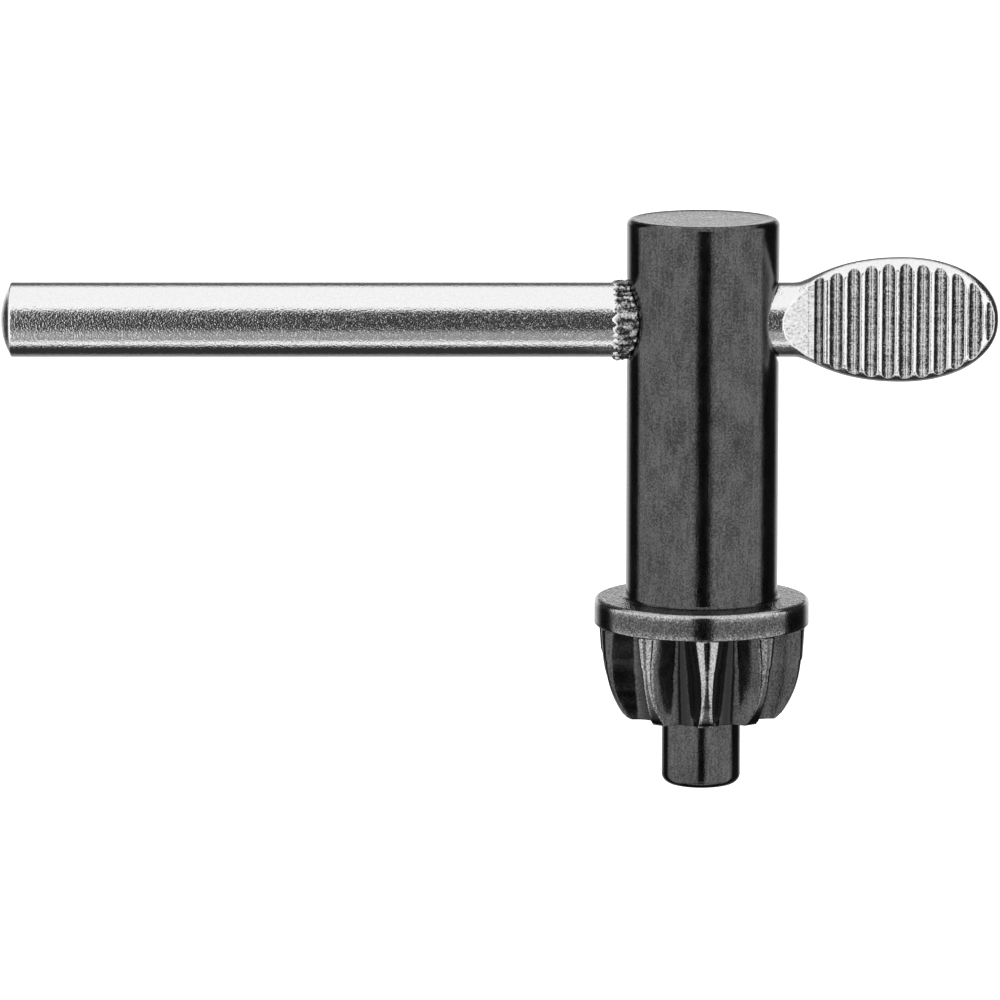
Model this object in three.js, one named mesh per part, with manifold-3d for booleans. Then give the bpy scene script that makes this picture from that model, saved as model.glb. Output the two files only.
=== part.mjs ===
// A chuck key with a press-fitted T handle.
//
// The key body is one steel turning: a pilot pin, a ten-tooth bevel pinion with a rounded nose, a flange
// and a plain shank with a cross bore. The cross handle is one round steel bar that sits in that bore:
// a plain arm with a domed end, a band of knurl beside the shank, and a coined thumb paddle with
// cross grooves on both faces.
//
// Millimetres, +Z up the body's axis, origin at the centre of the pilot's end face.
// The handle lies along X with its paddle towards +X, and the paddle's faces look along -Y and +Y.

import * as THREE from "three";
import { mergeVertices } from "three/addons/utils/BufferGeometryUtils.js";
import Module from "manifold-3d";

const wasm = await Module();
wasm.setup();

// ---- Key body ----
const PILOT_RADIUS = 3.18;
const PILOT_LENGTH = 5.67;
const PILOT_EDGE = 0.8; // rounding of the pilot's end
const TOOTH_COUNT = 10;
const TOOTH_TURN = 1.85; // degrees that the tooth on the -Y side stands towards +X
const PINION_LENGTH = 7.47;
const PINION_HEEL_RADIUS = 8.5; // tooth tips under the flange
const COLLAR_LENGTH = 2.64; // the straight stretch of the tips, next to the flange
const COLLAR_TAPER = 0.15; // how much the tips narrow along that stretch
const NOSE_RADIUS = 8.26; // the ball that the rest of the tips lie on
const NOSE_DEPTH = 2.18; // from the flange's underside down to that ball's centre
const ROOT_HEEL_RADIUS = 6.15; // gullet floor at the flange
const ROOT_TOE_RADIUS = 5.3; // gullet floor at the pinion's lower end
const GULLET_RADIUS = 1.85;
const GULLET_BELLY = 0.14; // how much wider a gullet is at mid length
const FLANGE_RADIUS = 8.66;
const FLANGE_THICKNESS = 2.14;
const FLANGE_EDGE = 0.35;
const SHANK_RADIUS = 6.12;
const SHANK_LENGTH = 30.72;
const SHANK_EDGE = 0.55;
const SHANK_FILLET = 0.35; // where the shank meets the flange
const MOUTH_BREAK = 0.5; // broken edge at both mouths of the cross bore

// ---- Cross handle ----
const HANDLE_LENGTH = 80;
const HANDLE_DROP = 8.17; // the handle's axis below the shank's top
const NECK_LENGTH = 1.18; // from the shank to where the paddle starts to widen
const BAR_RADIUS = 3;
const DOME_HEIGHT = 0.8;
const KNURL_TEETH = 14;
const KNURL_HEIGHT = 0.22;
const KNURL_OUTSIDE = 1.08; // how far the knurl shows past the shank
const KNURL_LEAD_IN = 0.7;
const PADDLE_THICKNESS = 2.8;
const PADDLE_HALF_WIDTH = 5.05;
const PADDLE_EDGE = 0.6; // rounding of the paddle's rim
const PADDLE_LENGTH = 16.4; // from where the neck starts to widen to the tip
const PADDLE_NOSE_LENGTH = 7.8; // from the widest place to the tip
const PADDLE_FULLNESS = 2.12; // 2 is an ellipse, more is squarer
const NECK_PULL = 0.15; // how long the outline keeps the neck's width, as a share of its flare
const SHOULDER_PULL = 0.66; // how long it keeps the full width, as a share of its flare
const RAMP_LENGTH = 1.93; // the coined slope from the round neck down to the flat
const RAMP_TO_WIDENING = 0.98; // from the slope's start to where the outline widens
const GROOVE_COUNT = 11;
const GROOVE_PITCH = 1.39;
const GROOVE_WIDTH = 1.05;
const GROOVE_DEPTH = 0.42;
const GROOVE_INSET = 1.1; // from the outline to where a groove starts to round off
const LAST_GROOVE_INSET = 0.57; // the last groove's centre from the tip

// ---- Fit ----
const BORE_CLEARANCE = 0.06; // radial gap between the bar and its bore
const KNURL_CLEARANCE = 0.15; // between the knurl and the shank

// ---- Facets ----
const BODY_SEGMENTS = 60;
const BAR_SEGMENTS = 48;
const GULLET_SEGMENTS = 20;
const GROOVE_SEGMENTS = 12;
const ARC_STEPS = 3;
const BELLY_STEPS = 4;
const OUTLINE_STEPS = 12;

// ---- Places that follow from the sizes ----
const pinionBottom = PILOT_LENGTH;
const flangeBottom = pinionBottom + PINION_LENGTH;
const flangeTop = flangeBottom + FLANGE_THICKNESS;
const shankTop = flangeTop + SHANK_LENGTH;
const handleHeight = shankTop - HANDLE_DROP;
const boreRadius = BAR_RADIUS + BORE_CLEARANCE;
const wideningStart = SHANK_RADIUS + NECK_LENGTH;
const paddleTip = wideningStart + PADDLE_LENGTH;
const armTip = paddleTip - HANDLE_LENGTH;
const rampStart = wideningStart - RAMP_TO_WIDENING;
const rampEnd = rampStart + RAMP_LENGTH;
const paddleFace = PADDLE_THICKNESS / 2;
const OVERSHOOT = 1; // how far a cutter reaches past what it cuts

const point = (x, y) => new THREE.Vector2(x, y);

// Points of an arc about a centre, from one angle to another, in degrees.
function arc(centreX, centreY, radius, fromDeg, toDeg, steps = ARC_STEPS) {
  return Array.from({ length: steps + 1 }, (_, i) => {
    const angle = THREE.MathUtils.degToRad(fromDeg + ((toDeg - fromDeg) * i) / steps);
    return point(centreX + radius * Math.cos(angle), centreY + radius * Math.sin(angle));
  });
}

// ---- Between three.js geometry and solids ----
function solid(geometry) {
  const bare = new THREE.BufferGeometry();
  bare.setAttribute("position", geometry.getAttribute("position"));
  bare.setIndex(geometry.getIndex());
  const merged = mergeVertices(bare, 1e-4);
  return new wasm.Manifold(
    new wasm.Mesh({
      numProp: 3,
      vertProperties: merged.attributes.position.array,
      triVerts: new Uint32Array(merged.index.array),
    }),
  );
}

function geometryOf(manifold) {
  const mesh = manifold.getMesh();
  const geometry = new THREE.BufferGeometry();
  geometry.setAttribute("position", new THREE.BufferAttribute(mesh.vertProperties, 3));
  geometry.setIndex(new THREE.BufferAttribute(mesh.triVerts, 1));
  geometry.computeVertexNormals();
  return geometry;
}

// A turned solid about Z: the profile's points are (radius, height), from the bottom up.
const turnedAboutZ = (profile, segments) =>
  solid(new THREE.LatheGeometry(profile, segments).rotateX(Math.PI / 2));

// A turned solid about X: the profile's points are (radius, x), from low x to high x.
const turnedAboutX = (profile, segments) =>
  solid(new THREE.LatheGeometry(profile, segments).rotateZ(-Math.PI / 2));

// ---- Key body ----
function pinionTips() {
  const noseCentre = flangeBottom - NOSE_DEPTH;
  const collarEnd = flangeBottom - COLLAR_LENGTH;
  const toeAngle = THREE.MathUtils.radToDeg(Math.asin((pinionBottom - noseCentre) / NOSE_RADIUS));
  const collarAngle = THREE.MathUtils.radToDeg(Math.asin((collarEnd - noseCentre) / NOSE_RADIUS));
  return [
    point(0, pinionBottom),
    ...arc(0, noseCentre, NOSE_RADIUS, toeAngle, collarAngle, 2 * ARC_STEPS),
    point(PINION_HEEL_RADIUS - COLLAR_TAPER, collarEnd),
    point(PINION_HEEL_RADIUS, flangeBottom),
    point(PINION_HEEL_RADIUS, flangeBottom + FLANGE_THICKNESS / 2),
    point(0, flangeBottom + FLANGE_THICKNESS / 2),
  ];
}

// One gullet: a slightly barrelled cutter that leans in towards the toe.
function gulletCutter() {
  const lean = Math.atan2(ROOT_HEEL_RADIUS - ROOT_TOE_RADIUS, PINION_LENGTH);
  const reach = PINION_LENGTH / 2 + OVERSHOOT;
  const side = Array.from({ length: BELLY_STEPS + 1 }, (_, i) => {
    const along = -1 + (2 * i) / BELLY_STEPS;
    return point(GULLET_RADIUS + GULLET_BELLY * (1 - along * along), along * reach);
  });
  const outline = [point(0, -reach), ...side, point(0, reach)];
  const cutter = new THREE.LatheGeometry(outline, GULLET_SEGMENTS);
  const floor = (ROOT_HEEL_RADIUS + ROOT_TOE_RADIUS) / 2;
  const centre = floor + (GULLET_RADIUS + GULLET_BELLY) / Math.cos(lean);
  cutter.rotateX(Math.PI / 2).rotateY(lean);
  return cutter.translate(centre, 0, pinionBottom + PINION_LENGTH / 2);
}

// One tooth stands close to the -Y side, so the gullets stand half a pitch round from there.
function pinion() {
  const pitch = (2 * Math.PI) / TOOTH_COUNT;
  const firstTooth = -Math.PI / 2 + THREE.MathUtils.degToRad(TOOTH_TURN);
  let teeth = turnedAboutZ(pinionTips(), BODY_SEGMENTS);
  for (let i = 0; i < TOOTH_COUNT; i++) {
    const turn = firstTooth + (i + 0.5) * pitch;
    teeth = teeth.subtract(solid(gulletCutter().rotateZ(turn)));
  }
  return teeth;
}

// The pilot, the pinion's core, the flange and the shank, as one turning.
function stem() {
  return turnedAboutZ(
    [
      point(0, 0),
      ...arc(PILOT_RADIUS - PILOT_EDGE, PILOT_EDGE, PILOT_EDGE, -90, 0),
      point(PILOT_RADIUS, flangeBottom),
      ...arc(FLANGE_RADIUS - FLANGE_EDGE, flangeBottom + FLANGE_EDGE, FLANGE_EDGE, -90, 0),
      ...arc(FLANGE_RADIUS - FLANGE_EDGE, flangeTop - FLANGE_EDGE, FLANGE_EDGE, 0, 90),
      ...arc(SHANK_RADIUS + SHANK_FILLET, flangeTop + SHANK_FILLET, SHANK_FILLET, 270, 180),
      ...arc(SHANK_RADIUS - SHANK_EDGE, shankTop - SHANK_EDGE, SHANK_EDGE, 0, 90),
      point(0, shankTop),
    ],
    BODY_SEGMENTS,
  );
}

// The cross bore with its broken mouths: the edge is deepest over and under the bar.
function crossBore() {
  const mouthStart = SHANK_RADIUS - MOUTH_BREAK;
  const end = SHANK_RADIUS + OVERSHOOT;
  const wide = boreRadius + MOUTH_BREAK + OVERSHOOT;
  return turnedAboutX(
    [
      point(0, -end),
      point(wide, -end),
      point(boreRadius, -mouthStart),
      point(boreRadius, mouthStart),
      point(wide, end),
      point(0, end),
    ],
    BAR_SEGMENTS,
  ).translate([0, 0, handleHeight]);
}

const keyBody = () => stem().add(pinion()).subtract(crossBore());

// ---- Cross handle, made about its own axis and lifted into the bore at the end ----
function roundBar() {
  const domeRadius = (BAR_RADIUS * BAR_RADIUS + DOME_HEIGHT * DOME_HEIGHT) / (2 * DOME_HEIGHT);
  const rimDeg = THREE.MathUtils.radToDeg(Math.asin(BAR_RADIUS / domeRadius));
  return turnedAboutX(
    [
      ...arc(0, armTip + domeRadius, domeRadius, -90, -90 + rimDeg, ARC_STEPS),
      point(BAR_RADIUS, rampEnd),
      point(0, rampEnd),
    ],
    BAR_SEGMENTS,
  );
}

// Everything that the two coined slopes leave: full thickness up to the slopes, then the flat's.
function coinedEnvelope() {
  const slope = RAMP_LENGTH / (BAR_RADIUS - paddleFace);
  const clear = BAR_RADIUS + OVERSHOOT;
  const clearX = rampStart - OVERSHOOT * slope;
  const side = new THREE.Shape([
    point(armTip - OVERSHOOT, -clear),
    point(clearX, -clear),
    point(rampEnd, -paddleFace),
    point(rampEnd + OVERSHOOT, -paddleFace),
    point(rampEnd + OVERSHOOT, paddleFace),
    point(rampEnd, paddleFace),
    point(clearX, clear),
    point(armTip - OVERSHOOT, clear),
  ]);
  const slab = new THREE.ExtrudeGeometry(side, { depth: 2 * clear, bevelEnabled: false });
  return solid(slab.translate(0, 0, -clear));
}

// The paddle's upper outline: an S curve out of the neck to the widest place, then a rounded nose.
function paddleHalfOutline() {
  const widest = paddleTip - PADDLE_NOSE_LENGTH;
  const flare = widest - wideningStart;
  const shoulder = new THREE.CubicBezierCurve(
    point(wideningStart, BAR_RADIUS),
    point(wideningStart + NECK_PULL * flare, BAR_RADIUS),
    point(widest - SHOULDER_PULL * flare, PADDLE_HALF_WIDTH),
    point(widest, PADDLE_HALF_WIDTH),
  ).getPoints(OUTLINE_STEPS);
  const power = 2 / PADDLE_FULLNESS;
  const nose = Array.from({ length: OUTLINE_STEPS - 1 }, (_, i) => {
    const angle = (Math.PI / 2) * ((i + 1) / OUTLINE_STEPS);
    const forward = PADDLE_NOSE_LENGTH * Math.sin(angle) ** power;
    return point(widest + forward, PADDLE_HALF_WIDTH * Math.cos(angle) ** power);
  });
  return [...shoulder, ...nose, point(paddleTip, 0)];
}

// The half width of the outline at a place along the handle.
function paddleHalfWidthAt(x) {
  const outline = paddleHalfOutline();
  const next = outline.findIndex((p) => p.x > x);
  if (next < 1) return next === 0 ? outline[0].y : 0;
  const [a, b] = [outline[next - 1], outline[next]];
  return a.y + ((b.y - a.y) * (x - a.x)) / (b.x - a.x);
}

function paddleBlank() {
  const upper = paddleHalfOutline();
  const inNeck = point(wideningStart - RAMP_TO_WIDENING / 2, BAR_RADIUS - PADDLE_EDGE);
  const half = [inNeck, ...upper];
  const lower = half.slice(0, -1).reverse().map((p) => point(p.x, -p.y));
  const plate = new THREE.ExtrudeGeometry(new THREE.Shape([...half, ...lower].reverse()), {
    depth: PADDLE_THICKNESS - 2 * PADDLE_EDGE,
    bevelEnabled: true,
    bevelThickness: PADDLE_EDGE,
    bevelSize: PADDLE_EDGE,
    bevelOffset: -PADDLE_EDGE,
    bevelSegments: ARC_STEPS,
  });
  plate.translate(0, 0, PADDLE_EDGE - paddleFace);
  return solid(plate.rotateX(Math.PI / 2));
}

// One groove: a round-floored channel across the face, with round ends inside the outline.
function grooveCutter(x, face) {
  const radius = (GROOVE_WIDTH ** 2 / 4 + GROOVE_DEPTH ** 2) / (2 * GROOVE_DEPTH);
  const halfLength = Math.max(paddleHalfWidthAt(x) - GROOVE_INSET, 0);
  const cutter = new THREE.CapsuleGeometry(radius, 2 * halfLength, ARC_STEPS, GROOVE_SEGMENTS);
  return cutter.rotateX(Math.PI / 2).translate(x, face * (paddleFace + radius - GROOVE_DEPTH), 0);
}

function groovedPaddle() {
  let paddle = paddleBlank();
  for (let i = 0; i < GROOVE_COUNT; i++) {
    const x = paddleTip - LAST_GROOVE_INSET - i * GROOVE_PITCH;
    for (const face of [-1, 1]) paddle = paddle.subtract(solid(grooveCutter(x, face)));
  }
  return paddle;
}

// The knurl band: straight ridges that rise along a lead-in and end at the shank's curve.
function knurlBand() {
  const start = -(SHANK_RADIUS + KNURL_OUTSIDE);
  const end = -SHANK_RADIUS / 2;
  const crest = BAR_RADIUS + KNURL_HEIGHT;
  const valley = BAR_RADIUS - KNURL_HEIGHT;
  const star = Array.from({ length: 2 * KNURL_TEETH }, (_, i) => {
    const angle = (Math.PI * i) / KNURL_TEETH;
    const radius = i % 2 ? valley : crest;
    return point(radius * Math.cos(angle), radius * Math.sin(angle));
  });
  const length = end - start;
  const ridges = new THREE.ExtrudeGeometry(new THREE.Shape(star), { depth: length, bevelEnabled: false });
  const clear = crest + KNURL_HEIGHT;
  const envelope = turnedAboutX(
    [
      point(0, start),
      point(valley, start),
      point(clear, start + KNURL_LEAD_IN),
      point(clear, end),
      point(0, end),
    ],
    BAR_SEGMENTS,
  );
  const room = SHANK_RADIUS + KNURL_CLEARANCE;
  const shankRoom = new THREE.CylinderGeometry(room, room, 2 * clear, BODY_SEGMENTS);
  const band = solid(ridges.rotateY(Math.PI / 2).translate(start, 0, 0));
  return band.intersect(envelope).subtract(solid(shankRoom.rotateX(Math.PI / 2)));
}

function crossHandle() {
  const bar = roundBar().intersect(coinedEnvelope());
  return bar.add(groovedPaddle()).add(knurlBand());
}

// ---- Assembly ----
function named(name, manifold, material) {
  const mesh = new THREE.Mesh(geometryOf(manifold), material);
  mesh.name = name;
  return mesh;
}

const blackenedSteel = new THREE.MeshStandardMaterial({ color: 0x2b2b2c, metalness: 0.85, roughness: 0.42 });
const platedSteel = new THREE.MeshStandardMaterial({ color: 0xc9c9ca, metalness: 1, roughness: 0.3 });

const chuckKey = new THREE.Group();
const handle = named("cross_handle", crossHandle(), platedSteel);
handle.position.z = handleHeight;
chuckKey.add(named("key_body", keyBody(), blackenedSteel), handle);

export default chuckKey;
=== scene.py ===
"""A chuck key: a blackened steel body with flange, bevel pinion and pilot, and a plated T handle.

Meshes are worked out in millimetres in the frame of the CAD model and scaled to metres when they
are made. +Z runs up the key body, and the handle lies along X with its paddle towards +X.
"""

import math

import bpy
import numpy as np
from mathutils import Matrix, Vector, noise


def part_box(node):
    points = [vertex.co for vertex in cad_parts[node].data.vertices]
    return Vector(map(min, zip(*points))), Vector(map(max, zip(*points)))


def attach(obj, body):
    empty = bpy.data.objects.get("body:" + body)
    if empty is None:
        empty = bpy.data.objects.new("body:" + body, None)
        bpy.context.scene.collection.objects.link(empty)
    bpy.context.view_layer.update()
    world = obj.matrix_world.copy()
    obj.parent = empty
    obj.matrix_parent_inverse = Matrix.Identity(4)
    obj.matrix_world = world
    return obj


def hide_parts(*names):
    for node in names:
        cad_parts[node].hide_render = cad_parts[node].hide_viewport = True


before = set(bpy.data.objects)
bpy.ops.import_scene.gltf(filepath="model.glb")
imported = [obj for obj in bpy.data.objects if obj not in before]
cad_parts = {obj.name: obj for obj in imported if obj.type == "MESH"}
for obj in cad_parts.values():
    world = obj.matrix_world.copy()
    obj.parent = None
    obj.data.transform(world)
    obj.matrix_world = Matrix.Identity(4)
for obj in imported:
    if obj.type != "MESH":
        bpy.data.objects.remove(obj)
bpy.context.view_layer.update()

MM = 0.001

# ---- Sizes from the frame, in millimetres ----
_, body_high = (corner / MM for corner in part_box("key_body"))
handle_low, handle_high = (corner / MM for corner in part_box("cross_handle"))
FLANGE_RADIUS = body_high.x
SHANK_TOP = body_high.z
ARM_TIP = handle_low.x
PADDLE_TIP = handle_high.x
HANDLE_HEIGHT = (handle_low.z + handle_high.z) / 2
PADDLE_HALF_WIDTH = (handle_high.z - handle_low.z) / 2

# ---- Sizes of the key body ----
PILOT_RADIUS = 3.18
PILOT_EDGE = 0.8
PILOT_LENGTH = 5.67
PILOT_FLAT = 0.6  # how far the end's fan of faces stops inside the rounding
PINION_LENGTH = 7.47
ROOT_ROUNDING = 0.15  # where the pilot meets the pinion's toe
TOOTH_COUNT = 10
TOOTH_TURN = 1.85  # degrees that the front tooth stands towards +X
HEEL_RADIUS = 8.5  # tooth tips under the flange
COLLAR_LENGTH = 2.64  # the straight stretch of the tips
COLLAR_TAPER = 0.15
NOSE_RADIUS = 8.26  # the ball that the rest of the tips lie on
NOSE_DEPTH = 2.18  # its centre below the flange
COLLAR_BLEND = 0.2  # half the height over which the tips pass from one to the other
ROOT_HEEL_RADIUS = 6.45
ROOT_TOE_RADIUS = 5.3
FLANK_ANGLE = 70  # from a tooth's own radius to its flank's normal
# Half the flat of a tooth's crest, and the rounding of its shoulders, by height above the toe.
TOOTH_HEIGHTS = (0.0, 1.3, 2.4, 4.1, 5.7, 6.6, 7.5)
CREST_FLATS = (0.5, 0.3, 0.2, 0.09, 0.19, 0.23, 0.25)
SHOULDER_RADII = (0.15, 0.22, 0.28, 0.5, 0.62, 0.74, 0.85)
TOE_EDGE = 0.12
TOE_SHARES = (0.3, 0.65, 0.9, 1.0)  # rings across the toe, from the pilot out to the teeth
TOE_ANGLES = (25, 50, 75, 90)  # rings round the toe's edge
# How far the finish is rubbed off each tooth, anticlockwise from the front tooth.
TOOTH_WEAR = (1.0, 0.42, 0.1, 0.6, 0.3, 0.8, 0.25, 0.5, 0.1, 0.7)
TOE_WEAR = 0.7
RUBBED_HEIGHTS = (8.4, 10.4)  # the rubbing grows to its full strength between these
SHOULDER_ANGLES = (0, 45, 70)  # round a shoulder, from the crest to the flank
SHOULDER_FADE = (1, 0.9, 0.15)
GULLET_PAINTED_SHADE = -0.5  # wear below 0 paints shade into the gullets
FLANGE_THICKNESS = 2.14
FLANGE_TOP_EDGE = 0.38
FLANGE_LOW_EDGE = 0.12
FLANGE_FACE_INSET = 0.4  # the face's first ring, inside the rounded edge
# Wear of the flange: its lower edge, its side going up, over its top edge, and its upper face.
FLANGE_LOW_WEAR = (0.3, 0.5)
FLANGE_SIDE_WEAR = (0.34, 0.22, 0.18, 0.2, 0.26, 0.5)
FLANGE_EDGE_WEAR = (0.8, 1.0, 1.0, 0.9, 0.55, 0.36)
FLANGE_FACE_WEAR = 0.36
SHANK_RADIUS = 6.12
SHANK_FILLET = 0.35
SHANK_EDGE = 0.5
SHANK_SIDE_WEAR = 0.05  # on the lower half of the top edge
SHANK_TOP_WEAR = 0.3
LIP_WIDTH = 0.12  # the narrow lip round the shank's top face
LIP_SLOPE = 0.1
FACE_SINK = 0.03  # how far the top face lies below its lip
FACE_RADII = (4.8, 3.6, 2.4, 1.2, 0.4)
BORE_RADIUS = 3.06
MOUTH_EDGE = 0.42

# ---- Sizes of the handle ----
BAR_RADIUS = 3.0
DOME_HEIGHT = 0.9
DOME_EDGE = 0.2
DOME_EDGE_SETBACK = 0.9  # where the edge's rounding is centred, in its own radius
KNURL_START = -7.2
KNURL_FIRST = KNURL_START - 0.3  # the first section that its ragged edge can reach
KNURL_END = -4.9  # inside the bore, where nothing of it is left
KNURL_LENGTH = 2.6
KNURL_HEIGHT = 0.2
KNURL_TEETH = 26
KNURL_BEND = 0.8  # how far its ridges wander, in ridges
KNURL_RAGGED = 0.4  # how far its edge follows the ridges
ARM_END = KNURL_START - 0.4
NECK_START = -4.5  # inside the bore, where the plain round bar goes on
RAMP_START = 6.32
RAMP_END = 8.4
PADDLE_FACE = 1.4  # half the paddle's thickness
FACE_START = 9.1  # where the flat face begins, past a slight slope
FACE_RISE = 0.13  # how much that slope loses
RIM_BLEND = (7.6, 11.0)  # where the neck's round side passes into the paddle's rim
WIDENING_START = 7.3
NOSE_LENGTH = 7.8  # from the paddle's widest place to its tip
FULLNESS = 2.12
NECK_PULL = 0.15
SHOULDER_PULL = 0.66
RIM = 1.15  # width of the paddle's rounded rim
RIM_FULLNESS = 1.7  # 2 is an ellipse, less is closer to a chamfer
GROOVE_COUNT = 11
GROOVE_PITCH = 1.39
GROOVE_WIDTH = 1.05
GROOVE_DEPTH = 0.44
FIRST_GROOVE_WIDTH = 0.72
RIDGE_TILT = 0.16  # slope of the ridges between the grooves
RIDGE_ROUNDING = 0.045
RIDGE_LOW, RIDGE_HIGH = 0.3, 0.8  # a ridge is rounded outside these shares of its width
RIDGE_DEEPEST = 0.12
LAST_GROOVE = 0.57  # from the tip
TIP_STRETCH = 1.2  # at the tip, where the sections close up
# How dark the painted shade in a groove is, from its edge nearer the neck to the other one.
GROOVE_PLACES = (-1, -0.75, -0.45, -0.1, 0.2, 0.5, 1)
GROOVE_SHADES = (0.9, 1.2, 1.05, 0.3, 0.22, 0.75, 0.85)
CREASE_WIDTH = 0.05  # the painted dark line along the crease where the slope ends
CREASE_SHADE = 0.6
COINED_SOFT = 0.05  # over how much cut the shade of a coined face comes in
GROOVE_SOFT = 0.04  # and that of a groove

GROOVES_FROM = FACE_START - 0.3
FIRST_GROOVE = PADDLE_TIP - LAST_GROOVE - (GROOVE_COUNT - 1) * GROOVE_PITCH - FIRST_GROOVE_WIDTH / 2
FLANGE_LOW = PILOT_LENGTH + PINION_LENGTH
FLANGE_TOP = FLANGE_LOW + FLANGE_THICKNESS
# The drag marks that the coining die leaves on the slope and on the plain face.
DRAG_PLACES = (RAMP_START, FACE_START, FIRST_GROOVE)
DRAG_SHADES = (0.26, 0.24, 0.16)


# ---- Mesh building ----
class Shell:
    """Points and faces of one closed mesh, gathered ring by ring, in millimetres."""

    def __init__(self):
        self.points = []
        self.faces = []
        self.wear_and_shade = []

    def ring(self, points, wear_and_shade=0.0):
        """Adds points with how worn or how shaded each one is, and returns their numbers."""
        first = len(self.points)
        self.points.extend(map(tuple, points))
        self.wear_and_shade.extend(np.broadcast_to(wear_and_shade, len(points)).tolist())
        return np.arange(first, len(self.points))

    def strip(self, low, high, keep=None):
        """Joins two rings of as many points with quads; keep says which columns get one."""
        count = len(low)
        for i in range(count):
            if keep is None or keep[i]:
                j = (i + 1) % count
                self.faces.append((low[i], low[j], high[j], high[i]))

    def cap(self, ring, centre, outward):
        """Closes a ring with a fan round a centre point; outward is +1 where the piece ends and -1
        where it begins."""
        (hub,) = self.ring([centre])
        count = len(ring)
        for i in range(count):
            j = (i + 1) % count
            first, second = (i, j) if outward > 0 else (j, i)
            self.faces.append((ring[first], ring[second], hub))

    def make(self, name):
        """The Blender object, in metres, smooth, without the points that no face uses."""
        used = sorted({i for face in self.faces for i in face})
        number = {old: new for new, old in enumerate(used)}
        mesh = bpy.data.meshes.new(name)
        points = [tuple(c * MM for c in self.points[i]) for i in used]
        mesh.from_pydata(points, [], [[number[i] for i in face] for face in self.faces])
        # real wear above 0, and shade painted into gullets, grooves, the slope's crease and the knurl
        wear_and_shade = mesh.attributes.new("wear_and_shade", "FLOAT", "POINT")
        wear_and_shade.data.foreach_set("value", [self.wear_and_shade[i] for i in used])
        mesh.shade_smooth()
        mesh.validate()
        piece = bpy.data.objects.new(name, mesh)
        bpy.context.scene.collection.objects.link(piece)
        return piece


def smooth_step(low, high, value):
    share = np.clip((value - low) / (high - low), 0, 1)
    return share * share * (3 - 2 * share)


# ---- Key body ----
SHOULDER_POINTS = 6
GULLET_POINTS = 6
# Two points on the crest, the shoulder, one on the flank, and the gullet with its middle.
HALF_TOOTH = 2 + SHOULDER_POINTS + 1 + GULLET_POINTS + 1
TOOTH_COLUMNS = 2 * HALF_TOOTH - 2
COLUMNS = TOOTH_COLUMNS * TOOTH_COUNT
EVEN_ANGLES = np.arange(COLUMNS) * 2 * math.pi / COLUMNS
PATCH_HALF_COLUMNS = 40
PATCH_ROWS = 48
PATCH_HALF_HEIGHT = 4.6
PATCH_RINGS = 9
MOUTH_RINGS = 8
PILOT_ROWS = 8
PINION_ROWS = 46
SHANK_ROWS = 14
SHANK_TOP_ROWS = 5


def round_points(radius, height):
    """Points of a circle about Z; angle 0 is the -Y side."""
    height = np.broadcast_to(height, COLUMNS)
    return np.stack([radius * np.sin(EVEN_ANGLES), -radius * np.cos(EVEN_ANGLES), height], 1)


def tip_radius(height):
    """How far out the tooth tips are: on a ball near the toe, on a slight cone near the flange."""
    nose = math.sqrt(NOSE_RADIUS**2 - (height - FLANGE_LOW + NOSE_DEPTH) ** 2)
    collar = HEEL_RADIUS - COLLAR_TAPER * (FLANGE_LOW - height) / COLLAR_LENGTH
    middle = FLANGE_LOW - COLLAR_LENGTH
    share = float(smooth_step(middle - COLLAR_BLEND, middle + COLLAR_BLEND, height))
    return nose * (1 - share) + collar * share


def tooth_points(height):
    """One tooth and the gullet after it, in plan, from the middle of the crest: the crest's flat, a
    round shoulder, a straight flank, and the round gullet, then the same back again."""
    above_toe = height - PILOT_LENGTH
    flat = np.interp(above_toe, TOOTH_HEIGHTS, CREST_FLATS)
    shoulder = np.interp(above_toe, TOOTH_HEIGHTS, SHOULDER_RADII)
    root = np.interp(above_toe, (0, PINION_LENGTH), (ROOT_TOE_RADIUS, ROOT_HEEL_RADIUS))
    tip = tip_radius(height)
    half_pitch = math.pi / TOOTH_COUNT
    flank = math.radians(FLANK_ANGLE)
    lean = math.cos(flank - half_pitch)
    reach = flat * math.sin(flank) + (tip - shoulder) * math.cos(flank) + shoulder
    gullet = (root * lean - reach) / (1 - lean)
    turns = np.linspace(0, flank, SHOULDER_POINTS)
    rounded = complex(tip - shoulder, flat) + shoulder * np.exp(1j * turns)
    turns = np.linspace(flank, half_pitch, GULLET_POINTS + 1)
    hollow = (root + gullet) * np.exp(1j * half_pitch) - gullet * np.exp(1j * turns)
    straight = [(rounded[-1] + hollow[0]) / 2]
    middle = [complex(tip, 0), complex(tip, flat / 2)]
    half = np.concatenate([middle, rounded, straight, hollow])
    mirror = np.conj(half[1:-1])[::-1] * np.exp(2j * half_pitch)
    return np.concatenate([half, mirror])


def pinion_points(height, inset=0.0, at_height=None):
    """The pinion's whole outline at a height, drawn in by inset."""
    tooth = tooth_points(height)
    first = math.radians(TOOTH_TURN)
    turns = np.exp(1j * (2 * math.pi * np.arange(TOOTH_COUNT) / TOOTH_COUNT + first))
    outline = (turns[:, None] * tooth[None, :]).ravel()
    outline *= 1 - inset / np.abs(outline)
    z = np.full(COLUMNS, height if at_height is None else at_height)
    return np.stack([outline.imag, -outline.real, z], 1)


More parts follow.
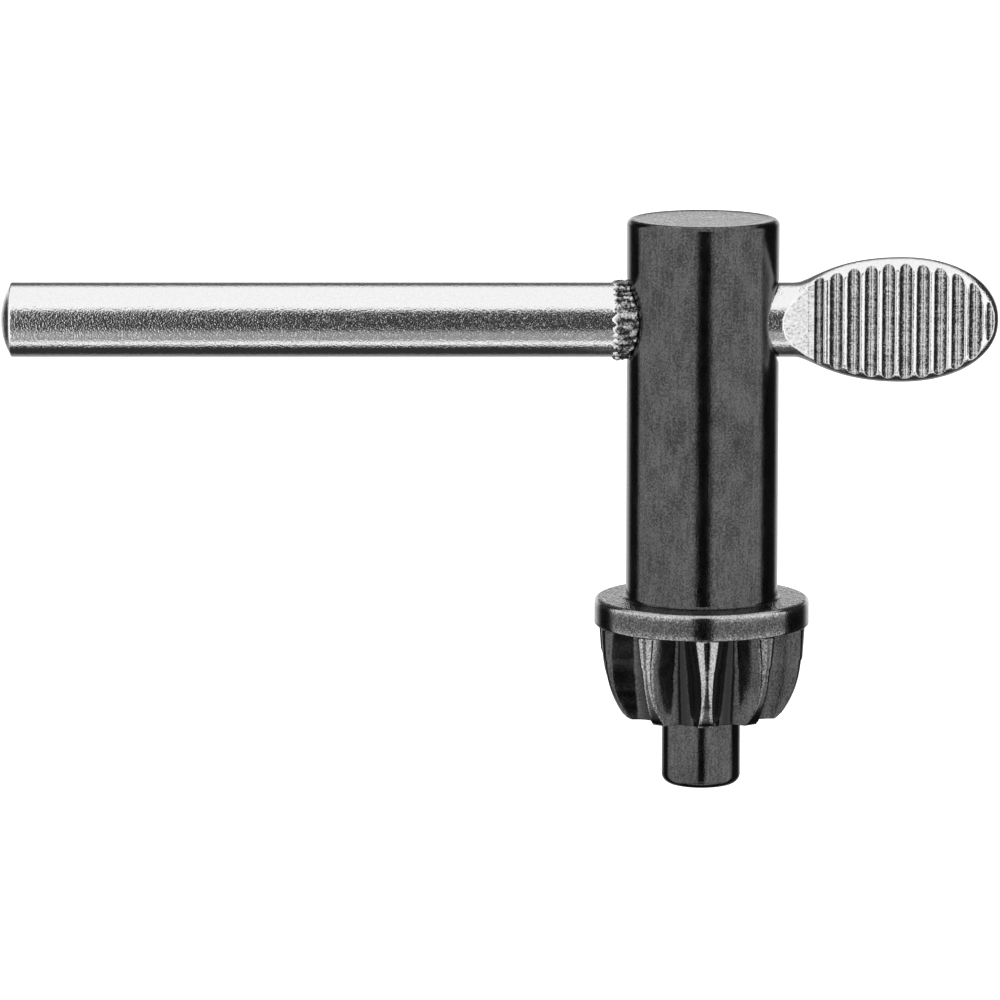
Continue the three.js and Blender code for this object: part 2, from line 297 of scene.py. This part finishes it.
def tooth_wear(crest, edge):
    """How far the black finish is worn off, column by column: most on a tooth's shoulders, less in the
    middle of its crest, and below nothing in the gullets, which paints shade there. The half before
    a tooth's crest mirrors the half after it."""
    fade = np.interp(np.linspace(0, FLANK_ANGLE, SHOULDER_POINTS), SHOULDER_ANGLES, SHOULDER_FADE)
    on_crest = fade > 0.99
    hollow = [0.0, *np.linspace(0, GULLET_PAINTED_SHADE, GULLET_POINTS + 1)]
    halves = []
    for rubbed in TOOTH_WEAR:
        middle = [0.1 * crest * rubbed, 0.5 * crest * rubbed]
        shoulder = rubbed * np.maximum(edge * fade, crest * on_crest)
        halves.append(np.concatenate([middle, shoulder, hollow]))
    columns = []
    for half, after in zip(halves, halves[1:] + halves[:1]):
        columns += [half, after[1:-1][::-1]]
    return np.concatenate(columns)


def arc(centre_radius, centre_height, radius, from_deg, to_deg, steps):
    """(radius, height) points of a profile's round stretch."""
    angles = np.radians(np.linspace(from_deg, to_deg, steps + 1))
    return [
        (centre_radius + radius * math.cos(a), centre_height + radius * math.sin(a)) for a in angles
    ]


def grow(shell, last, points, wear_and_shade=0.0):
    """Adds a ring joined to the last one, and returns it."""
    ring = shell.ring(points, wear_and_shade)
    shell.strip(last, ring)
    return ring


def turned(shell, last, profile, wear_and_shade=0.0):
    """Adds round rings along a profile, joined to the last ring, and returns its last one."""
    for radius, height in profile:
        last = grow(shell, last, round_points(radius, height), wear_and_shade)
    return last


def pilot(shell):
    edge = PILOT_RADIUS - PILOT_EDGE
    end = shell.ring(round_points(edge - PILOT_FLAT, 0))
    shell.cap(end, (0, 0, 0), -1)
    last = turned(shell, end, arc(edge, PILOT_EDGE, PILOT_EDGE, -90, 0, 8))
    side = np.linspace(1.2, PILOT_LENGTH - 0.25, PILOT_ROWS)
    return turned(shell, last, [(PILOT_RADIUS, z) for z in side])


def pinion(shell, last):
    root = PILOT_RADIUS + ROOT_ROUNDING
    last = turned(shell, last, arc(root, PILOT_LENGTH - ROOT_ROUNDING, ROOT_ROUNDING, 180, 90, 3))
    inner = round_points(root, PILOT_LENGTH)
    outer = pinion_points(PILOT_LENGTH, TOE_EDGE)
    for share in TOE_SHARES:
        last = grow(shell, last, inner * (1 - share) + outer * share)
    for angle in np.radians(TOE_ANGLES):
        inset = TOE_EDGE * (1 - math.sin(angle))
        height = PILOT_LENGTH + TOE_EDGE * (1 - math.cos(angle))
        points = pinion_points(PILOT_LENGTH, inset, height)
        last = grow(shell, last, points, tooth_wear(TOE_WEAR, TOE_WEAR))
    for height in np.linspace(PILOT_LENGTH + TOE_EDGE, FLANGE_LOW, PINION_ROWS)[1:]:
        worn = float(smooth_step(*RUBBED_HEIGHTS, height))
        wear_and_shade = tooth_wear(0.25 + 0.75 * worn, 0.75 + 0.25 * worn)
        last = grow(shell, last, pinion_points(height), wear_and_shade)
    return last


def flange(shell, last):
    rim = FLANGE_RADIUS - FLANGE_LOW_EDGE
    low = FLANGE_LOW + FLANGE_LOW_EDGE
    high = FLANGE_TOP - FLANGE_TOP_EDGE
    under, corner = FLANGE_LOW_WEAR
    last = turned(shell, last, [(rim, FLANGE_LOW)], under)
    last = turned(shell, last, arc(rim, low, FLANGE_LOW_EDGE, -60, 0, 2), corner)
    side = np.linspace(low, high, len(FLANGE_SIDE_WEAR) + 1)[1:]
    for worn, height in zip(FLANGE_SIDE_WEAR, side):
        last = turned(shell, last, [(FLANGE_RADIUS, height)], worn)
    steps = len(FLANGE_EDGE_WEAR) - 1
    top = arc(FLANGE_RADIUS - FLANGE_TOP_EDGE, high, FLANGE_TOP_EDGE, 15, 90, steps)
    for worn, place in zip(FLANGE_EDGE_WEAR, top):
        last = turned(shell, last, [place], worn)
    inner = SHANK_RADIUS + SHANK_FILLET
    face = [(r, FLANGE_TOP) for r in np.linspace(rim - FLANGE_FACE_INSET, inner, 6)]
    last = turned(shell, last, face, FLANGE_FACE_WEAR)
    return turned(shell, last, arc(inner, FLANGE_TOP + SHANK_FILLET, SHANK_FILLET, 270, 180, 6)[1:])


def patch_loop(rows, middle):
    """The point numbers round a patch's border, anticlockwise as seen from outside the shank."""
    left, right = middle - PATCH_HALF_COLUMNS, middle + PATCH_HALF_COLUMNS
    low = [rows[0][k] for k in range(left, right)]
    up = [rows[i][right] for i in range(len(rows) - 1)]
    high = [rows[-1][k] for k in range(right, left, -1)]
    down = [rows[i][left] for i in range(len(rows) - 1, 0, -1)]
    return np.array(low + up + high + down)


def bore_mouth(shell, rows, side):
    """Fills a patch of the shank round one mouth of the bore, and returns the mouth's inner ring."""
    quarter = COLUMNS // 4
    middle = quarter if side > 0 else 3 * quarter
    loop = patch_loop(rows, middle)
    border = np.array([shell.points[i] for i in loop])
    across, up = border[:, 1] * side, border[:, 2] - HANDLE_HEIGHT
    turn = np.arctan2(up, across)
    start = BORE_RADIUS + MOUTH_EDGE

    def on_shank(u, v, sunk=0.0):
        """Points u across and v up from the bore's axis, on the shank or sunk below it."""
        x = side * (np.sqrt(SHANK_RADIUS**2 - u**2) - sunk)
        return np.stack([x, u * side, v + HANDLE_HEIGHT], 1)

    last = loop
    for share in np.linspace(0, 1, PATCH_RINGS)[1:]:
        u = across * (1 - share) + start * np.cos(turn) * share
        v = up * (1 - share) + start * np.sin(turn) * share
        last = grow(shell, last, on_shank(u, v))
    for angle in np.radians(np.linspace(0, 90, MOUTH_RINGS)[1:]):
        reach = BORE_RADIUS + MOUTH_EDGE * (1 - math.sin(angle))
        sunk = MOUTH_EDGE * (1 - math.cos(angle))
        last = grow(shell, last, on_shank(reach * np.cos(turn), reach * np.sin(turn), sunk))
    return last


def shank(shell, last):
    low = HANDLE_HEIGHT - PATCH_HALF_HEIGHT
    high = HANDLE_HEIGHT + PATCH_HALF_HEIGHT
    start = FLANGE_TOP + SHANK_FILLET
    below = np.linspace(start, low, SHANK_ROWS)[1:-1]
    last = turned(shell, last, [(SHANK_RADIUS, z) for z in below])
    beside = np.linspace(low, high, PATCH_ROWS + 1)
    rows = [shell.ring(round_points(SHANK_RADIUS, z)) for z in beside]
    shell.strip(last, rows[0])
    keep = np.ones(COLUMNS, bool)
    for quarter in (1, 3):
        middle = quarter * COLUMNS // 4
        keep[middle - PATCH_HALF_COLUMNS : middle + PATCH_HALF_COLUMNS] = False
    for lower, upper in zip(rows, rows[1:]):
        shell.strip(lower, upper, keep)
    right = bore_mouth(shell, rows, 1)
    left = bore_mouth(shell, rows, -1)
    opposite = (2 * PATCH_HALF_COLUMNS - np.arange(len(left))) % len(left)
    shell.strip(right, left[opposite])
    top = SHANK_TOP - SHANK_EDGE
    above = np.linspace(high, top, SHANK_TOP_ROWS)[1:-1]
    last = turned(shell, rows[-1], [(SHANK_RADIUS, z) for z in above])
    edge = arc(SHANK_RADIUS - SHANK_EDGE, top, SHANK_EDGE, 0, 90, 8)
    last = turned(shell, last, edge[:5], SHANK_SIDE_WEAR)
    last = turned(shell, last, edge[5:], SHANK_TOP_WEAR)
    lip = SHANK_RADIUS - SHANK_EDGE - LIP_WIDTH
    sunk = SHANK_TOP - FACE_SINK
    face = [(lip, SHANK_TOP), (lip - LIP_SLOPE, sunk)] + [(r, sunk) for r in FACE_RADII]
    last = turned(shell, last, face, SHANK_TOP_WEAR)
    shell.cap(last, (0, 0, sunk), 1)


def key_body():
    shell = Shell()
    last = pilot(shell)
    last = pinion(shell, last)
    last = flange(shell, last)
    shank(shell, last)
    return shell.make("key_body_steel")


# ---- Handle ----
RING_POINTS = 192
RING_ANGLES = np.arange(RING_POINTS) * 2 * math.pi / RING_POINTS
FRONT = np.where(np.sin(RING_ANGLES) >= 0, -1.0, 1.0)
DOME_SECTIONS = 12
DOME_EDGE_SECTIONS = 6
ARM_SECTIONS = 30
KNURL_SECTIONS = 64
NECK_SECTIONS = 12
SLOPE_SECTIONS = 26
FACE_SECTIONS = 232
TIP_SECTIONS = 34
OUTLINE_HALVINGS = 40


def bar_points(x, radius=BAR_RADIUS):
    """A round section of the handle at a place along it."""
    y = -radius * np.sin(RING_ANGLES)
    z = radius * np.cos(RING_ANGLES) + HANDLE_HEIGHT
    return np.stack([np.broadcast_to(x, RING_POINTS), y, z], 1)


def triangle_wave(value):
    """1 at whole numbers, 0 half way between."""
    return np.abs(2 * (value % 1) - 1)


def wobble(x, rate, seed):
    """Noise round the bar at a place along it, about -1 to 1; rate is in cycles per millimetre."""
    values = []
    for a in RING_ANGLES:
        up, across = math.cos(a) * BAR_RADIUS * rate, math.sin(a) * BAR_RADIUS * rate
        values.append(noise.noise(Vector((x * rate, up, across + seed))))
    return np.array(values)


def knurl(x):
    """The radius, and how deep in shade each point is, of the crushed knurl that holds the bar: two
    sets of slanting ridges, chipped, and pressed flat where the bar goes into the shank."""
    turn = RING_ANGLES / (2 * math.pi)
    along = (x - KNURL_START) / KNURL_LENGTH
    bend = KNURL_BEND * wobble(x, 0.6, 4.0)
    teeth = triangle_wave(turn * KNURL_TEETH + 1.1 * along + bend)
    cross = triangle_wave(turn * KNURL_TEETH * 0.5 - 1.9 * along - bend + 0.25)
    chips = wobble(x, 1.9, 9.0) + 1.2 * wobble(x, 4.4, 17.0)
    lump = 0.7 * np.minimum(1.3 * teeth, 1) + 0.4 * np.minimum(1.4 * cross, 1) + 0.42 * chips
    edge = KNURL_START + KNURL_RAGGED * (1 - triangle_wave(turn * KNURL_TEETH + bend))
    edge = edge + 0.12 * wobble(x, 1.2, 2.0)
    surface = -np.sqrt(SHANK_RADIUS**2 - (BAR_RADIUS * np.sin(RING_ANGLES)) ** 2)
    lead = smooth_step(edge - 0.12, edge + 0.12, x)
    sink = 1 - smooth_step(surface + 0.02, surface + 0.3, x)
    height = KNURL_HEIGHT * lump
    shade = np.clip(1.4 - 0.85 * lump, 0.4, 1.3)
    return BAR_RADIUS + height * lead * sink, shade * lead


def coined_limit(x):
    """Half the thickness that the coined slopes leave at a place along the neck."""
    places = (RAMP_START, RAMP_END, FACE_START)
    return float(np.interp(x, places, (BAR_RADIUS, PADDLE_FACE + FACE_RISE, PADDLE_FACE)))


def bezier(t, a, b, c, d):
    return (1 - t) ** 3 * a + 3 * t * (1 - t) ** 2 * b + 3 * t**2 * (1 - t) * c + t**3 * d


def half_width(x):
    """The paddle's outline: an S curve out of the neck, then a rounded nose."""
    widest = PADDLE_TIP - NOSE_LENGTH
    if x <= WIDENING_START:
        return BAR_RADIUS
    if x >= widest:
        share = min(1.0, (x - widest) / NOSE_LENGTH)
        return PADDLE_HALF_WIDTH * max(0.0, 1 - share**FULLNESS) ** (1 / FULLNESS)
    flare = widest - WIDENING_START
    leaving, arriving = WIDENING_START + NECK_PULL * flare, widest - SHOULDER_PULL * flare
    low, high = 0.0, 1.0
    for _ in range(OUTLINE_HALVINGS):
        t = (low + high) / 2
        place = bezier(t, WIDENING_START, leaving, arriving, widest)
        low, high = (t, high) if place < x else (low, t)
    return bezier(low, BAR_RADIUS, BAR_RADIUS, PADDLE_HALF_WIDTH, PADDLE_HALF_WIDTH)


def rim_distance(x, z):
    """How far a place on the paddle is inside its outline."""
    widest = PADDLE_TIP - NOSE_LENGTH
    if x <= widest:
        return half_width(x) - np.abs(z)
    along = (x - widest) / NOSE_LENGTH
    across = np.abs(z) / PADDLE_HALF_WIDTH
    level = (along**FULLNESS + across**FULLNESS) ** (1 / FULLNESS)
    slope_x = (along / level) ** (FULLNESS - 1) / NOSE_LENGTH
    slope_z = (across / level) ** (FULLNESS - 1) / PADDLE_HALF_WIDTH
    return (1 - level) / np.hypot(slope_x, slope_z)


def groove_cut(x):
    """How deep the cross grooves and the tilted ridges between them go below the face, and how far
    into a groove the place is: -1 and 1 at its edges, 0 in its middle, None on a ridge."""
    last = PADDLE_TIP - LAST_GROOVE
    number = min(max(round((last - x) / GROOVE_PITCH), 0), GROOVE_COUNT - 1)
    offset = x - (last - number * GROOVE_PITCH)
    width = FIRST_GROOVE_WIDTH if number == GROOVE_COUNT - 1 else GROOVE_WIDTH
    if abs(offset) < width / 2:
        radius = (width**2 / 4 + GROOVE_DEPTH**2) / (2 * GROOVE_DEPTH)
        return math.sqrt(radius**2 - offset**2) - (radius - GROOVE_DEPTH), 2 * offset / width
    if x < last - (GROOVE_COUNT - 1) * GROOVE_PITCH:
        return 0.0, None
    ridge = GROOVE_PITCH - GROOVE_WIDTH
    across = (abs(offset) - width / 2) / ridge
    across = across if offset > 0 else 1 - across
    past = max(0.0, RIDGE_LOW - across) ** 2 + max(0.0, across - RIDGE_HIGH) ** 2
    rounding = RIDGE_ROUNDING * past / RIDGE_LOW**2
    return min(RIDGE_TILT * ridge * across + rounding, RIDGE_DEEPEST), None


def paddle_points(x):
    """The handle's section at a place along the neck or the paddle, and how deep in shade it is."""
    half = half_width(x)
    z = half * np.cos(RING_ANGLES)
    inside = np.maximum(rim_distance(x, z), 0)
    shoulder = BAR_RADIUS - np.minimum(inside, BAR_RADIUS)
    drawn = np.sqrt(np.maximum(BAR_RADIUS**2 - shoulder**2, 0))
    edge = 1 - np.minimum(inside / RIM, 1)
    rolled = PADDLE_FACE * np.maximum(1 - edge**RIM_FULLNESS, 0) ** (1 / RIM_FULLNESS)
    blend = smooth_step(*RIM_BLEND, x)
    side = drawn * (1 - blend) + rolled * blend
    limit = coined_limit(x)
    face = np.minimum(side, limit)
    coined = smooth_step(0.0, COINED_SOFT, side - limit) if x < FACE_START else 1.0
    # painted shade along the crease where the slope ends
    crease = math.exp(-(((x - RAMP_END) / CREASE_WIDTH) ** 2))
    drag = float(np.interp(x, DRAG_PLACES, DRAG_SHADES)) if x < FIRST_GROOVE else 0.0
    shade = coined * max(drag, CREASE_SHADE * crease)
    depth, place = groove_cut(x)
    if x > GROOVES_FROM and depth > 0:
        cut = limit - depth
        if place is not None:
            inner = smooth_step(0.0, GROOVE_SOFT, side - cut)
            # painted shade in the groove, darkest near its walls
            shade = inner * np.interp(place, GROOVE_PLACES, GROOVE_SHADES)
        face = np.minimum(face, cut)
    return np.stack([np.full(RING_POINTS, x), FRONT * face, z + HANDLE_HEIGHT], 1), shade


def paddle_places():
    """Sections along the paddle: even on the slope and on the face, then closing up towards the tip."""
    slope = np.linspace(RAMP_START, RAMP_END, SLOPE_SECTIONS)
    face = np.linspace(RAMP_END, PADDLE_TIP - TIP_STRETCH, FACE_SECTIONS)[1:]
    angles = np.radians(np.linspace(90, 2, TIP_SECTIONS))[1:]
    tip = PADDLE_TIP - TIP_STRETCH * (1 - np.cos(angles))
    return np.concatenate([slope, face, tip])


def domed_end():
    """(distance from the arm's tip, radius) of the sections over the dome and round its edge."""
    radius = (BAR_RADIUS**2 + DOME_HEIGHT**2) / (2 * DOME_HEIGHT)
    reach = math.asin((BAR_RADIUS - DOME_EDGE) / radius)
    angles = np.linspace(0, reach, DOME_SECTIONS)[1:]
    dome = [(radius * (1 - math.cos(a)), radius * math.sin(a)) for a in angles]
    start = dome[-1][0]
    edge = []
    for a in np.radians(np.linspace(30, 90, DOME_EDGE_SECTIONS))[1:]:
        place = start + DOME_EDGE * (DOME_EDGE_SETBACK - math.cos(a))
        edge.append((place, BAR_RADIUS - DOME_EDGE * (1 - math.sin(a))))
    return dome + edge


def cross_handle():
    shell = Shell()
    sections = domed_end()
    place, size = sections[0]
    last = shell.ring(bar_points(ARM_TIP + place, size))
    shell.cap(last, (ARM_TIP, 0, HANDLE_HEIGHT), -1)
    for place, size in sections[1:]:
        last = grow(shell, last, bar_points(ARM_TIP + place, size))
    for x in np.linspace(ARM_TIP + place + 0.1, ARM_END, ARM_SECTIONS):
        last = grow(shell, last, bar_points(x))
    for x in np.linspace(KNURL_FIRST, KNURL_END, KNURL_SECTIONS):
        radii, shade = knurl(x)
        last = grow(shell, last, bar_points(x, radii), shade)
    for x in np.linspace(NECK_START, RAMP_START - 0.1, NECK_SECTIONS):
        last = grow(shell, last, bar_points(x))
    for x in paddle_places():
        points, shade = paddle_points(x)
        last = grow(shell, last, points, shade)
    shell.cap(last, (PADDLE_TIP, 0, HANDLE_HEIGHT), 1)
    return shell.make("cross_handle_steel")


# ---- Node helpers ----
def link(tree, source, socket):
    """Connects a socket, or sets a plain value on it."""
    if isinstance(source, bpy.types.NodeSocket):
        tree.links.new(source, socket)
    else:
        socket.default_value = source


def calc(tree, operation, *values):
    """The result of one Math node."""
    node = tree.nodes.new("ShaderNodeMath")
    node.operation = operation
    for value, socket in zip(values, node.inputs):
        link(tree, value, socket)
    return node.outputs[0]


def ramp(tree, value, low, high, start=0.0, end=1.0):
    """A smooth step from start to end as value goes from low to high."""
    node = tree.nodes.new("ShaderNodeMapRange")
    node.interpolation_type = "SMOOTHSTEP"
    for place, number in zip((0, 1, 2, 3, 4), (value, low, high, start, end)):
        link(tree, number, node.inputs[place])
    return node.outputs[0]


def band(tree, value, low, high, soft):
    """1 between two values, falling to 0 over soft on either side."""
    rise = ramp(tree, value, low - soft, low + soft)
    fall = ramp(tree, value, high - soft, high + soft, 1.0, 0.0)
    return calc(tree, "MULTIPLY", rise, fall)


def grain(tree, scale, detail, roughness):
    """Noise in the piece's own space; scale is cycles per millimetre along X, Y and Z."""
    place = tree.nodes.new("ShaderNodeTexCoord").outputs["Object"]
    stretch = tree.nodes.new("ShaderNodeMapping")
    stretch.inputs["Scale"].default_value = [s / MM for s in scale]
    tree.links.new(place, stretch.inputs["Vector"])
    texture = tree.nodes.new("ShaderNodeTexNoise")
    texture.inputs["Scale"].default_value = 1.0
    texture.inputs["Detail"].default_value = detail
    texture.inputs["Roughness"].default_value = roughness
    tree.links.new(stretch.outputs[0], texture.inputs["Vector"])
    return texture.outputs["Fac"]


def bump(tree, height, distance, normal=None):
    """Bump from a 0 to 1 height, over another bump's normal; distance is in millimetres."""
    node = tree.nodes.new("ShaderNodeBump")
    node.inputs["Strength"].default_value = 1.0
    node.inputs["Distance"].default_value = distance * MM
    tree.links.new(height, node.inputs["Height"])
    if normal is not None:
        tree.links.new(normal, node.inputs["Normal"])
    return node.outputs[0]


def greys(tree, value, dark, light):
    """A neutral colour between dark and light by a 0 to 1 value; either can be a tone or a socket."""
    node = tree.nodes.new("ShaderNodeMix")
    node.data_type = "RGBA"
    node.clamp_factor = True
    tree.links.new(value, node.inputs["Factor"])
    for name, tone in (("A", dark), ("B", light)):
        colours = [s for s in node.inputs if s.name == name and s.type == "RGBA"]
        if not isinstance(tone, bpy.types.NodeSocket):
            tone = (tone, tone, tone, 1)
        link(tree, tone, colours[0])
    return [s for s in node.outputs if s.type == "RGBA"][0]


def new_material(name):
    """A metallic material, with its node tree and its shader."""
    material = bpy.data.materials.new(name)
    material.use_nodes = True
    shader = material.node_tree.nodes["Principled BSDF"]
    shader.inputs["Metallic"].default_value = 1.0
    return material, material.node_tree, shader


# ---- Materials ----
BLACK_TONES = (0.042, 0.122)
# tone of the shade painted into the gullets
GULLET_SHADE_TONE = 0.03
BARE_TONES = (0.28, 0.6)
ZINC_TONES = (0.78, 0.84)
# greys for the drag marks, and for shade painted into grooves, crease and knurl
DULL_AND_SHADED_TONES = (0.66, 0.03)


def blackened_steel():
    """Black oxide, rubbed through to grey steel as far as the per-point attribute is above 0, and with
    shade painted darker where it is below, in the gullets."""
    material, tree, shader = new_material("blackened_steel")
    # the attribute: real wear above 0, painted gullet shade below 0
    worn = tree.nodes.new("ShaderNodeAttribute")
    worn.attribute_name = "wear_and_shade"
    fine = grain(tree, (7, 7, 7), 2, 0.6)
    streaks = grain(tree, (4, 4, 0.4), 3, 0.6)
    patches = grain(tree, (0.5, 0.5, 0.35), 4, 0.6)
    up = tree.nodes.new("ShaderNodeSeparateXYZ")
    tree.links.new(tree.nodes.new("ShaderNodeNewGeometry").outputs["Normal"], up.inputs[0])
    turning = grain(tree, (4, 0.9, 4), 3, 0.8)
    upward = ramp(tree, up.outputs[2], 0.9, 0.98)
    faced = calc(tree, "MULTIPLY", upward, calc(tree, "SUBTRACT", turning, 0.5))
    scratch = calc(tree, "MULTIPLY_ADD", fine, 0.8, worn.outputs["Fac"])
    scratch = calc(tree, "MULTIPLY_ADD", faced, 2.4, scratch)
    bare = ramp(tree, scratch, 0.55, 1.35)
    tone = calc(tree, "MULTIPLY", streaks, 0.2)
    tone = calc(tree, "MULTIPLY_ADD", patches, 0.28, tone)
    tone = calc(tree, "MULTIPLY_ADD", fine, 0.52, tone)
    black = greys(tree, ramp(tree, tone, 0.38, 0.62), *BLACK_TONES)
    # painted shade: darker black where the attribute falls below 0, in the gullets
    gullet_shade = ramp(tree, worn.outputs["Fac"], GULLET_PAINTED_SHADE, 0.0)
    black = greys(tree, gullet_shade, GULLET_SHADE_TONE, black)
    steel = greys(tree, ramp(tree, fine, 0.3, 0.7), *BARE_TONES)
    tree.links.new(greys(tree, bare, black, steel), shader.inputs["Base Color"])
    tree.links.new(ramp(tree, patches, 0.3, 0.7, 0.11, 0.17), shader.inputs["Roughness"])
    tool_marks = bump(tree, faced, 0.1)
    lengthwise = bump(tree, streaks, 0.003, tool_marks)
    tree.links.new(bump(tree, fine, 0.006, lengthwise), shader.inputs["Normal"])
    return material


def plated_steel():
    """Zinc plate over drawn bar, dull and grey where the per-point attribute marks grooves, drag marks
    and
    knurl: grey from the drag marks themselves, and from shade painted into the grooves, along the
    slope's crease and into the knurl's crevices."""
    material, tree, shader = new_material("plated_steel")
    recess = tree.nodes.new("ShaderNodeAttribute")
    recess.attribute_name = "wear_and_shade"
    deep = recess.outputs["Fac"]
    fine = grain(tree, (7, 7, 7), 1, 0.5)
    gritty = grain(tree, (7, 7, 7), 2, 0.7)
    drawn = grain(tree, (0.25, 4.5, 4.5), 3, 0.6)
    clean = greys(tree, ramp(tree, gritty, 0.3, 0.7), *ZINC_TONES)
    mottled = calc(tree, "MULTIPLY_ADD", calc(tree, "SUBTRACT", gritty, 0.5), 2.2, deep)
    mottled = calc(tree, "MULTIPLY_ADD", calc(tree, "SUBTRACT", drawn, 0.5), 1.2, mottled)
    # drag marks, and painted shade in the grooves, the crease and the knurl's crevices
    dull_and_shaded = greys(tree, ramp(tree, mottled, 0.2, 1.1), *DULL_AND_SHADED_TONES)
    lines = calc(tree, "MULTIPLY", deep, calc(tree, "MULTIPLY_ADD", drawn, 3.0, -0.5))
    plate = greys(tree, ramp(tree, lines, 0.05, 0.3), clean, dull_and_shaded)
    tree.links.new(plate, shader.inputs["Base Color"])
    tree.links.new(ramp(tree, deep, 0.0, 0.6, 0.13, 0.36), shader.inputs["Roughness"])
    lengthwise = bump(tree, drawn, 0.002)
    pitted = bump(tree, fine, 0.02, lengthwise)
    crushed = calc(tree, "MULTIPLY", ramp(tree, deep, 0.2, 0.6), gritty)
    tree.links.new(bump(tree, crushed, 0.03, pitted), shader.inputs["Normal"])
    return material


# ---- Camera, floor and light ----
AIM = Vector((-16.27, 0, 23.16)) * MM
DISTANCE = 546 * MM
ELEVATION = math.radians(9.4)
LENS = 244.1
FLOOR_DEPTH = 60 * MM
FLOOR_HALF = 4.0
SHADE_LIGHT = 0.035  # what comes from anywhere between the panels


def camera():
    data = bpy.data.cameras.new("camera")
    data.lens = LENS
    eye = bpy.data.objects.new("camera", data)
    back = Vector((0, -math.cos(ELEVATION), math.sin(ELEVATION)))
    eye.location = AIM + back * DISTANCE
    eye.rotation_mode = "QUATERNION"
    eye.rotation_quaternion = (-back).to_track_quat("-Z", "Y")
    data.clip_start, data.clip_end = 0.01, 20
    bpy.context.scene.collection.objects.link(eye)
    bpy.context.scene.camera = eye


def floor():
    mesh = bpy.data.meshes.new("floor")
    half = FLOOR_HALF
    corners = [(-half, -half), (half, -half), (half, half), (-half, half)]
    mesh.from_pydata([(x, y, -FLOOR_DEPTH) for x, y in corners], [], [(0, 1, 2, 3)])
    piece = bpy.data.objects.new("floor", mesh)
    bpy.context.scene.collection.objects.link(piece)
    material = bpy.data.materials.new("pale_floor")
    material.use_nodes = True
    shader = material.node_tree.nodes["Principled BSDF"]
    shader.inputs["Base Color"].default_value = (0.85, 0.85, 0.85, 1)
    shader.inputs["Roughness"].default_value = 0.9
    shader.inputs["Emission Color"].default_value = (1, 1, 1, 1)
    shader.inputs["Emission Strength"].default_value = 0.75
    mesh.materials.append(material)
    piece.visible_glossy = False


def studio():
    """A light tent round the object: a wide overhead panel, two side panels with a dark gap between
    them at the front, a pale card low in front and a pale backdrop, with dark gaps between them. The
    camera itself sees plain white."""
    world = bpy.data.worlds.new("studio")
    world.use_nodes = True
    bpy.context.scene.world = world
    tree = world.node_tree
    tree.nodes.clear()
    place = tree.nodes.new("ShaderNodeSeparateXYZ")
    tree.links.new(tree.nodes.new("ShaderNodeTexCoord").outputs["Generated"], place.inputs[0])
    x, y, z = place.outputs
    ahead = calc(tree, "MULTIPLY", y, -1.0)
    degrees = 180 / math.pi
    tilt = calc(tree, "MULTIPLY", calc(tree, "ARCTAN2", z, ahead), degrees)
    swing = calc(tree, "MULTIPLY", calc(tree, "ARCTAN2", x, ahead), degrees)
    edge = calc(tree, "MULTIPLY_ADD", y, 0.087, 0.6585)
    top = ramp(tree, calc(tree, "SUBTRACT", z, edge), -0.07, 0.07, 0.0, 1.1)
    right = band(tree, swing, 11.5, 100, 3)
    left = band(tree, swing, -114, -10.5, 3)
    upright = band(tree, z, -0.8, 0.9, 0.08)
    sides = calc(tree, "MULTIPLY", calc(tree, "ADD", right, left), upright)
    sides = calc(tree, "MULTIPLY", sides, 1.2)
    low_front = calc(tree, "MULTIPLY", band(tree, tilt, -80, -27, 6), 0.3)
    card = calc(tree, "MULTIPLY", band(tree, tilt, -79, -63, 3), 1.15)
    low = ramp(tree, z, -0.85, -0.65)
    level = calc(tree, "MULTIPLY_ADD", band(tree, z, -0.2, 0.21, 0.03), 0.65, 0.35)
    high = ramp(tree, z, 0.22, 0.3, 1.0, 0.35)
    behind = ramp(tree, calc(tree, "ABSOLUTE", swing), 138, 158)
    for part in (low, level, high):
        behind = calc(tree, "MULTIPLY", behind, part)
    light = calc(tree, "MAXIMUM", top, sides)
    for part in (low_front, card, behind):
        light = calc(tree, "MAXIMUM", light, part)
    light = calc(tree, "MAXIMUM", light, SHADE_LIGHT)
    seen = tree.nodes.new("ShaderNodeLightPath").outputs["Is Camera Ray"]
    strength = calc(tree, "ADD", calc(tree, "MULTIPLY", light, calc(tree, "SUBTRACT", 1.0, seen)), seen)
    background = tree.nodes.new("ShaderNodeBackground")
    background.inputs["Color"].default_value = (1, 1, 1, 1)
    tree.links.new(strength, background.inputs["Strength"])
    output = tree.nodes.new("ShaderNodeOutputWorld")
    tree.links.new(background.outputs[0], output.inputs["Surface"])


# ---- Putting it together ----
def fit_piece(piece, node, material):
    """Gives a piece its material, hangs it under the root body, and hides the CAD part that it stands
    for.
    """
    piece.data.materials.append(material)
    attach(piece, "root")
    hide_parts(node)


camera()
floor()
studio()
bpy.context.scene.view_settings.view_transform = "Standard"
fit_piece(key_body(), "key_body", blackened_steel())
fit_piece(cross_handle(), "cross_handle", plated_steel())
